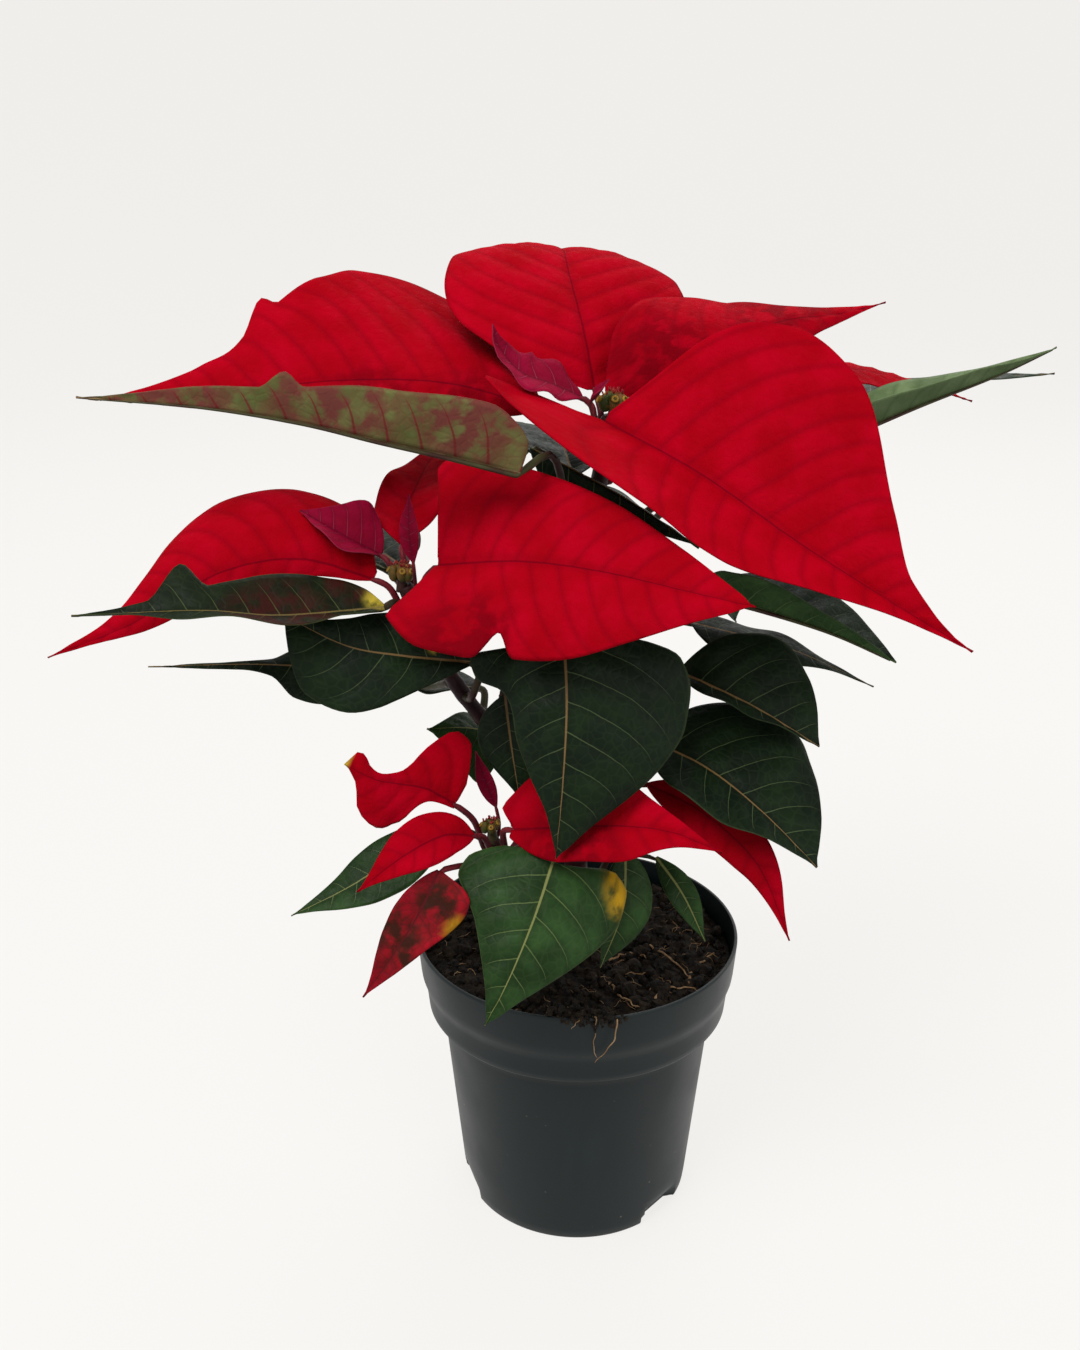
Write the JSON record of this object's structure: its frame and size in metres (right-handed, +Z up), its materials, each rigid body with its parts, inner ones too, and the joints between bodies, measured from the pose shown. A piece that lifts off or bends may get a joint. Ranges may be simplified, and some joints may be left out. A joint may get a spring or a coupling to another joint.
{
  "type": "potted poinsettia",
  "caption": "Poinsettia house plant with red bracts and green leaves on a branching stem, standing in soil in a round nursery pot",
  "frame": {"origin": "centre of the pot's flat underside", "axes": "+Z up along the pot's axis, +Y away from the side that the picture shows"},
  "size_m": [0.3643, 0.2206, 0.3519],
  "materials": {
    "pot_plastic": "satin",
    "potting_soil": "matte",
    "stem_bark": "satin",
    "flower_cups": "satin",
    "red_bract": "satin",
    "young_bract": "satin",
    "mottled_bract": "satin",
    "green_leaf": "satin",
    "green_leaf_folded": "satin"
  },
  "bodies": {
    "root": {"pot": "pot_plastic", "soil": "potting_soil", "stem": "stem_bark", "flower_head_top": "flower_cups", "flower_head_left": "flower_cups", "flower_head_low": "flower_cups", "bract_front_right": "red_bract", "bract_top_middle": "red_bract", "bract_back_right": "red_bract", "bract_left": "red_bract", "bract_far_right": "red_bract", "young_bract_top": "young_bract", "tiny_leaf_top": "young_bract", "leaf_upper_left": "green_leaf_folded", "leaf_upper_right": "green_leaf_folded", "leaf_far_right": "green_leaf", "leaf_under_bract": "green_leaf", "bract_front_middle": "red_bract", "bract_lower_left": "red_bract", "young_bract_left": "young_bract", "bract_left_back": "red_bract", "bractlet_left": "young_bract", "leaf_left_inner": "green_leaf", "leaf_left_dark": "green_leaf", "leaf_left_hanging": "green_leaf", "leaf_left_back": "green_leaf", "leaf_front_hanging": "green_leaf", "leaf_right_upper": "green_leaf_folded", "leaf_right_slim": "green_leaf", "leaf_right_middle": "green_leaf", "leaf_right_lower": "green_leaf", "leaf_inner_hanging": "green_leaf", "leaf_inner_left": "green_leaf", "leaf_inner_folded": "green_leaf_folded", "curled_bract_low": "red_bract", "bractlet_low": "young_bract", "bract_low_left": "red_bract", "bract_low_right": "red_bract", "bract_low_far_right": "red_bract", "leaf_low_front": "green_leaf", "leaf_low_right": "green_leaf", "leaf_low_small": "green_leaf", "leaf_low_left": "green_leaf", "mottled_bract_low": "mottled_bract", "leaf_back_high": "green_leaf", "leaf_back_left": "green_leaf", "leaf_back_right": "green_leaf", "leaf_back_low": "green_leaf"}
  },
  "joints": []
}
